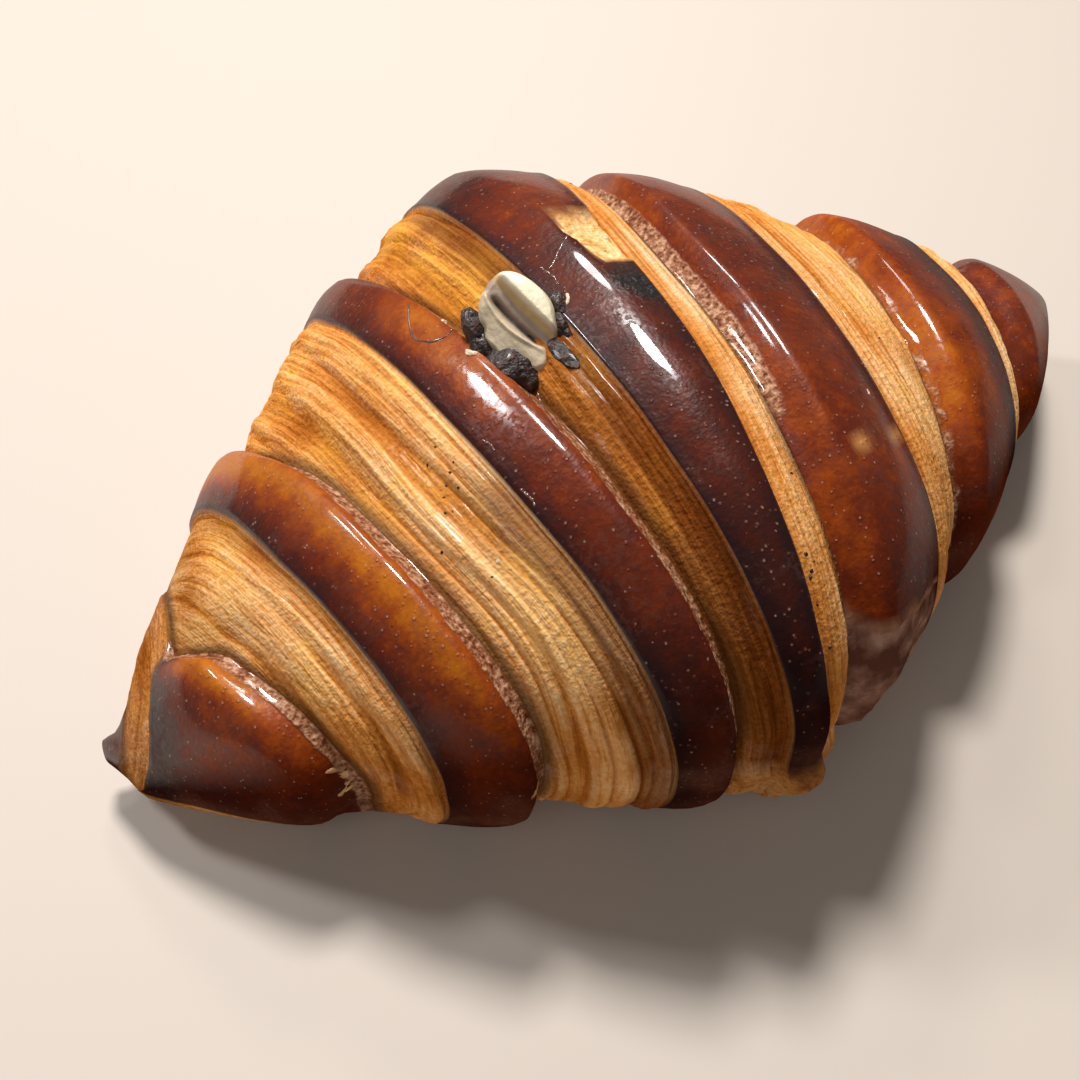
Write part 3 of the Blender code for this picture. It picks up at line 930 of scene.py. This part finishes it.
def build_nut():
    """Half a kernel: a thick bright lobe, a slope down to the slit, a thin ridge and a flat lower side."""
    around, out, down = 168, 44, 20
    theta = np.arange(around) / around * 2 * math.pi
    edge = 1 / np.hypot(np.cos(theta) / NUT_HALF_WIDTH, np.sin(theta) / NUT_HALF_LENGTH)
    waver = 0.02 * np.sin(5 * theta + 1)
    for size, degrees, spread in NUT_BUMPS:
        waver = waver + size * near_angle(theta, degrees, spread)
    edge = edge * (1 + waver)
    t = (np.arange(1, out + 1) / out)[:, None] ** 0.85
    across, along = t * edge * np.cos(theta), t * edge * np.sin(theta)
    c = across + SLIT_SLANT * along
    curve = (along / 5) ** 2
    lobe = smooth(1.1, 2.5, c - 0.3 * curve)
    slope = smooth(-0.9, -0.1, c) * (1 - lobe)
    slit = bump_at(c + 0.55 - 0.25 * (along / 3.6) ** 2, 0, 0.46) * smooth(4.3, 3.0, np.abs(along))
    ridge = bump_at(c + 1.74 - 1.15 * (along / 4.4) ** 2, 0, 0.27) * smooth(5.4, 4.6, np.abs(along))
    border = bump_at(c - 1.45 - 0.3 * curve, 0, 0.34)
    p = np.stack([across, along, np.zeros_like(across)], -1)
    height = LOBE_HEIGHT * lobe * np.sqrt(np.clip(1 - t**5, 0, 1)) - 0.45 * slope - SLIT_DEPTH * slit
    height = height + 0.30 * ridge - 0.55 * smooth(-1.8, -4.4, c) - 0.6 * smooth(0.84, 1.0, t) ** 2
    height = height + 0.12 * fractal(p / 1.6, 3, 301)
    s = (np.arange(1, down + 1) / (down + 0.5))[:, None] * math.pi / 2
    shrink = np.cos(s) ** 0.7
    across = np.concatenate([across, edge * np.cos(theta) * shrink])
    along = np.concatenate([along, edge * np.sin(theta) * shrink])
    height = np.concatenate([height, height[-1] * (1 - np.sin(s)) - NUT_DEPTH * np.sin(s) ** 1.3])
    u, v, w = nut_axes()
    pos = NUT_CENTRE + across[..., None] * u + along[..., None] * v + height[..., None] * w
    rim = smooth(0.90, 1.0, t) * near_angle(theta, -42, 34)
    masks = {"lobe": lobe, "slope": slope, "slit": slit, "ridge": ridge, "border": border, "rim": rim}
    for key, value in masks.items():
        masks[key] = np.clip(np.concatenate([value, np.repeat(value[-1:], down, 0)]), 0, 1)
    return pos, masks


def unit_ball(level):
    bm = bmesh.new()
    bmesh.ops.create_icosphere(bm, subdivisions=level, radius=1)
    bm.verts.index_update()
    points = np.array([v.co[:] for v in bm.verts])
    faces = np.array([[v.index for v in f.verts] for f in bm.faces])
    bm.free()
    return points, faces


def lump(centre, radii, axes, level, rough, seed):
    """An uneven closed lump with its own three axes."""
    ball, faces = unit_ball(level)
    size = 1 + rough * fractal(ball * 1.6 + 7.0 * seed, 3, 400 + seed, 0.6)
    local = ball * size[:, None] * np.array(radii)
    return np.asarray(centre) + local @ np.array(axes), faces


def thread(points, ups, radius, sides=8):
    """A closed round thread along the points, thinner at its ends."""
    points = np.array(points)
    tangent = np.gradient(points, axis=0)
    tangent /= np.linalg.norm(tangent, axis=1)[:, None]
    side = np.cross(tangent, ups)
    side /= np.linalg.norm(side, axis=1)[:, None]
    up = np.cross(side, tangent)
    share = np.linspace(0, 1, len(points))
    thick = radius * np.clip(np.sin(math.pi * share) * 4, 0.15, 1) * (1 + 0.25 * np.sin(share * 23))
    turn = np.arange(sides) / sides * 2 * math.pi
    rings = points[:, None] + thick[:, None, None] * (
        np.cos(turn)[None, :, None] * side[:, None] + np.sin(turn)[None, :, None] * up[:, None]
    )
    count = len(points)
    i = np.arange(count - 1)[:, None] * sides
    k, nxt = np.arange(sides)[None, :], (np.arange(sides)[None, :] + 1) % sides
    a, b, c, d = i + k, i + nxt, i + sides + nxt, i + sides + k
    faces = np.concatenate([np.stack([a, b, c], -1).reshape(-1, 3), np.stack([a, c, d], -1).reshape(-1, 3)])
    first, last = count * sides, count * sides + 1
    k, nxt = np.arange(sides), (np.arange(sides) + 1) % sides
    tail = (count - 1) * sides
    caps = [
        np.stack([np.full(sides, first), nxt, k], -1),
        np.stack([np.full(sides, last), tail + k, tail + nxt], -1),
    ]
    return np.concatenate([rings.reshape(-1, 3), points[:1], points[-1:]]), np.concatenate([faces, *caps])


def joined(name, pieces, material, slot, *nodes):
    """One object from several closed pieces, with their faces turned outwards."""
    points, faces, start = [], [], 0
    for piece_points, piece_faces in pieces:
        points.append(piece_points)
        faces.append(piece_faces + start)
        start += len(piece_points)
    mesh = bpy.data.meshes.new(name)
    mesh.from_pydata((np.concatenate(points) * MM).tolist(), [], np.concatenate(faces).tolist())
    bm = bmesh.new()
    bm.from_mesh(mesh)
    bmesh.ops.recalc_face_normals(bm, faces=bm.faces)
    bm.to_mesh(mesh)
    bm.free()
    mesh.shade_smooth()
    mesh.materials.append(material)
    return body_piece(linked(name, mesh), slot, *nodes)


SMEAR_AT = (-18.6, 85.5)  # x and angle on the roll
SMEAR_RADII = (2.8, 1.0, 0.30)


def build_chocolate(roll):
    """The lump of cream that holds the nut, with knobs beside it and a smear down the crevice."""
    u, v, w = nut_axes()
    upright = np.eye(3)
    pieces = [lump((-20.8, 1.4, 52.4), (7.2, 7.2, 3.5), upright, 5, 0.16, 1)]
    knobs = [
        # across, along, up from the nut's middle; radii; roughness
        (-5.0, 1.7, -2.3, 1.4, 2.9, 1.9, 0.25),
        (-5.3, -1.0, -2.3, 1.6, 3.0, 1.9, 0.30),
        (-5.8, -3.2, -2.8, 2.1, 2.6, 1.8, 0.35),
        (-3.8, -5.4, -3.0, 3.0, 2.1, 1.6, 0.30),
        (-0.8, -6.9, -3.0, 3.3, 1.6, 1.4, 0.30),
        (2.6, -5.0, -1.5, 1.2, 1.5, 1.3, 0.30),
        (4.5, -3.4, -1.7, 1.3, 2.4, 1.9, 0.30),
        (5.1, -0.8, -2.0, 1.1, 2.6, 1.8, 0.30),
    ]
    for k, (a, b, c, ra, rb, rc, rough) in enumerate(knobs):
        pieces.append(lump(NUT_CENTRE + a * u + b * v + c * w, (ra, rb, rc), (u, v, w), 4, rough, 2 + k))
    x, degrees = SMEAR_AT
    up = roll.normal(x, degrees)
    run = roll.at(x + 0.5, degrees - 4) - roll.at(x - 0.5, degrees + 4)
    run = run - up * run.dot(up)
    run /= np.linalg.norm(run)
    axes = (run, np.cross(up, run), up)
    pieces.append(lump(roll.at(x, degrees), SMEAR_RADII, axes, 4, 0.22, 20))
    return joined("chocolate_cream", pieces, chocolate_material(), "chocolate_cream", "chocolate_cream")


# Threads of dried glaze, each a run of x and angle on the roll.
GLAZE_THREADS = [
    [(-28.5, 108), (-29.8, 105), (-30.8, 102), (-30.9, 99.5), (-29.8, 97), (-28.2, 96), (-26.9, 96.6),
     (-25.8, 97.5)],
    [(-22.4, 84.5), (-22.9, 82), (-23.6, 79), (-24.2, 77.5)],
    [(-23.6, 85.5), (-23.9, 84), (-24.4, 82.8)],
    [(-9.2, 98.5), (-10.3, 97.6), (-11.5, 96.8), (-13.0, 95.6), (-14.4, 94.8)],
    [(-14.6, 96.5), (-14.4, 95), (-14.2, 93.6), (-14.5, 92.2)],
    [(-31.5, 80.8), (-31.0, 79.4), (-31.0, 77.8)],
    [(-30.9, 71.0), (-30.6, 69.4), (-30.4, 68.2), (-30.6, 67.0)],
]
# Charred specks, mostly on the walls.
SPECKS = [
    (-34.9, 81), (-35.8, 80), (-36.6, 79), (-37.1, 84), (-37.5, 77.5), (-35.8, 77), (-38.1, 75),
    (-37.4, 74.4), (-40.4, 69), (-37.4, 60), (-35.6, 85), (-8.2, 39), (-8.6, 38), (-7.3, 40), (-8.0, 42),
    (2.4, 124), (5.3, 105), (-4.1, 54), (-9.1, 24), (-49.0, 60), (-52.5, 58), (20.5, 84), (24.0, 70),
    (-9.0, 33),
]
# Crumbs: x, angle and three radii.
CRUMBS = [
    (-27.0, 99.5, 0.55, 0.45, 0.40), (-27.2, 91.5, 0.55, 1.0, 0.35), (-25.6, 92.5, 0.35, 0.40, 0.30),
    (1.7, 75, 0.55, 1.2, 0.15), (-14.6, 90.5, 0.35, 0.9, 0.22), (-36.0, 62, 0.4, 0.4, 0.25),
    (-8.6, 100.0, 0.8, 1.1, 0.30), (-3.6, 99.0, 0.5, 0.5, 0.30), (13.0, 60.0, 0.4, 0.5, 0.25),
]
# Torn flakes low on the front where the layers end: x, angle, length and the number that shapes each.
FLAKE_PLACES = [(-60.0, 12, 1.4, 0), (-60.4, 4, 1.7, 1), (-41.2, 3, 1.3, 14), (-61.0, 17, 0.8, 18)]


def build_threads(roll):
    pieces = []
    for path in GLAZE_THREADS:
        knots = np.array(path, float)
        t = np.linspace(0, len(knots) - 1, 10 * len(knots))
        xs, degrees = (np.interp(t, np.arange(len(knots)), knots[:, k]) for k in range(2))
        for _ in range(4):
            xs[1:-1] = (xs[:-2] + 2 * xs[1:-1] + xs[2:]) / 4
            degrees[1:-1] = (degrees[:-2] + 2 * degrees[1:-1] + degrees[2:]) / 4
        points = [roll.lifted(x, d, 0.06) for x, d in zip(xs, degrees)]
        ups = np.array([roll.normal(x, d) for x, d in zip(xs, degrees)])
        pieces.append(thread(points, ups, 0.17))
    look = bit_material("dried_glaze", (0.085, 0.030, 0.020), (0.190, 0.085, 0.060), 0.25, 1.0)
    return joined("glaze_threads", pieces, look, "browned_crust")


def surface_axes(roll, x, degrees, twist):
    up = roll.normal(x, degrees)
    side = np.cross(up, (math.cos(twist), math.sin(twist), 0.1))
    side /= np.linalg.norm(side)
    return side, np.cross(up, side), up


def build_bits(roll):
    specks, crumbs, flakes = [], [], []
    for k, (x, degrees) in enumerate(SPECKS):
        size = 0.12 + 0.10 * hash_unit(k, 3, 5, 7)
        axes = surface_axes(roll, x, degrees, 2.4 * k)
        radii = (size, 1.3 * size, 0.8 * size)
        specks.append(lump(roll.lifted(x, degrees, 0.05), radii, axes, 2, 0.4, 40 + k))
    for k, (x, degrees, *radii) in enumerate(CRUMBS):
        axes = surface_axes(roll, x, degrees, 1.7 * k + 0.4)
        crumbs.append(lump(roll.lifted(x, degrees, 0.15), radii, axes, 3, 0.7, 80 + k))
    for x, degrees, length, k in FLAKE_PLACES:
        axes = surface_axes(roll, x, degrees, 1.2 * k)
        radii = (0.45 * length, length, 0.28)
        flakes.append(lump(roll.lifted(x, degrees, 0.2), radii, axes, 3, 0.75, 100 + k))
    charred = bit_material("charred", (0.006, 0.004, 0.004), (0.020, 0.012, 0.010), 0.6, 0.1)
    crumb = bit_material("crumb", (0.50, 0.30, 0.15), (0.86, 0.70, 0.48), 0.55, 0.15)
    flake = bit_material("flake", (0.40, 0.17, 0.05), (0.74, 0.42, 0.17), 0.6, 0.05)
    joined("charred_specks", specks, charred, "browned_crust")
    joined("pale_crumbs", crumbs, crumb, "browned_crust")
    joined("torn_flakes", flakes, flake, "browned_crust")


# ---- Build ----
def body_piece(piece, slot, *nodes):
    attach(piece, "root")
    if nodes:
        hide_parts(*nodes)
    return piece


positions, crust_masks, roll = build_roll()
crust = grid_mesh("croissant_crust", positions, crust_masks)
crust.data.materials.append(crust_material())
body_piece(crust, "browned_crust", "croissant")
nut_positions, nut_masks = build_nut()
nut = grid_mesh("hazelnut_half", nut_positions, nut_masks)
nut.data.materials.append(nut_material())
body_piece(nut, "hazelnut", "hazelnut_half")
build_chocolate(roll)
build_threads(roll)
build_bits(roll)


# ---- Stage, in metres ----
FLOOR_HALF = 1.6
FLOOR_DROP = 0.0002  # the floor lies this far below the roll
FLOOR_COLOUR = (0.62, 0.54, 0.465)
WORLD_COLOUR, WORLD_STRENGTH = (1.0, 0.97, 0.94, 1), 0.09
# Lamps: place, the height they are aimed at, size, power and colour.
LAMPS = {
    "key": ((0.12, 0.32, 0.72), 0.02, 0.16, 6.3, (1.0, 0.98, 0.96)),
    "back_right": ((0.17, 0.42, 0.50), 0.03, 0.10, 0.6, (1.0, 0.98, 0.97)),
    "back_left": ((-0.30, 0.40, 0.56), 0.02, 0.12, 1.8, (0.96, 0.97, 1.0)),
    "fill": ((-0.40, -0.35, 0.70), 0.02, 0.60, 1.1, (1.0, 0.98, 0.96)),
}
VIEW_ANGLE = 53  # degrees
CAMERA_PLACE = (-0.0663, -0.0843, 0.1436)
CAMERA_RIGHT = (0.8671, -0.4981, -0.0084)
CAMERA_UP = (0.4032, 0.6918, 0.5990)
CAMERA_BACK = (-0.2926, -0.5227, 0.8007)


def build_floor():
    h = FLOOR_HALF
    mesh = bpy.data.meshes.new("floor")
    mesh.from_pydata([(-h, -h, 0), (h, -h, 0), (h, h, 0), (-h, h, 0)], [], [(0, 1, 2, 3)])
    floor = linked("floor", mesh)
    floor.location.z = -FLOOR_DROP
    n = Nodes("floor_paper")
    speckle = n.noise(n.position(), 60.0, 3.0, 0.5)
    darker = tuple(0.92 * c for c in FLOOR_COLOUR)
    n.set("Base Color", n.mix(n.mul(speckle, 0.1), FLOOR_COLOUR, darker))
    n.set("Roughness", 0.6)
    mesh.materials.append(n.material)


def build_lights():
    world = bpy.data.worlds.new("studio")
    bpy.context.scene.world = world
    world.use_nodes = True
    background = world.node_tree.nodes["Background"]
    background.inputs["Color"].default_value = WORLD_COLOUR
    background.inputs["Strength"].default_value = WORLD_STRENGTH
    for name, (place, aim, size, power, colour) in LAMPS.items():
        data = bpy.data.lights.new(name, "AREA")
        data.shape = "DISK"
        data.size = size
        data.energy = power
        data.color = colour
        lamp = linked(name, data)
        lamp.location = place
        lamp.rotation_euler = (Vector((0, 0, aim)) - Vector(place)).to_track_quat("-Z", "Y").to_euler()
        lamp.visible_glossy = name != "fill"  # the fill would show as one clean oval in the glaze


def build_camera():
    data = bpy.data.cameras.new("camera")
    data.angle = math.radians(VIEW_ANGLE)
    data.clip_start = 0.01
    camera = linked("camera", data)
    turn = Matrix((CAMERA_RIGHT, CAMERA_UP, CAMERA_BACK)).transposed().to_4x4()
    camera.matrix_world = Matrix.Translation(CAMERA_PLACE) @ turn
    bpy.context.scene.camera = camera


build_floor()
build_lights()
build_camera()
bpy.context.scene.view_settings.view_transform = "Standard"
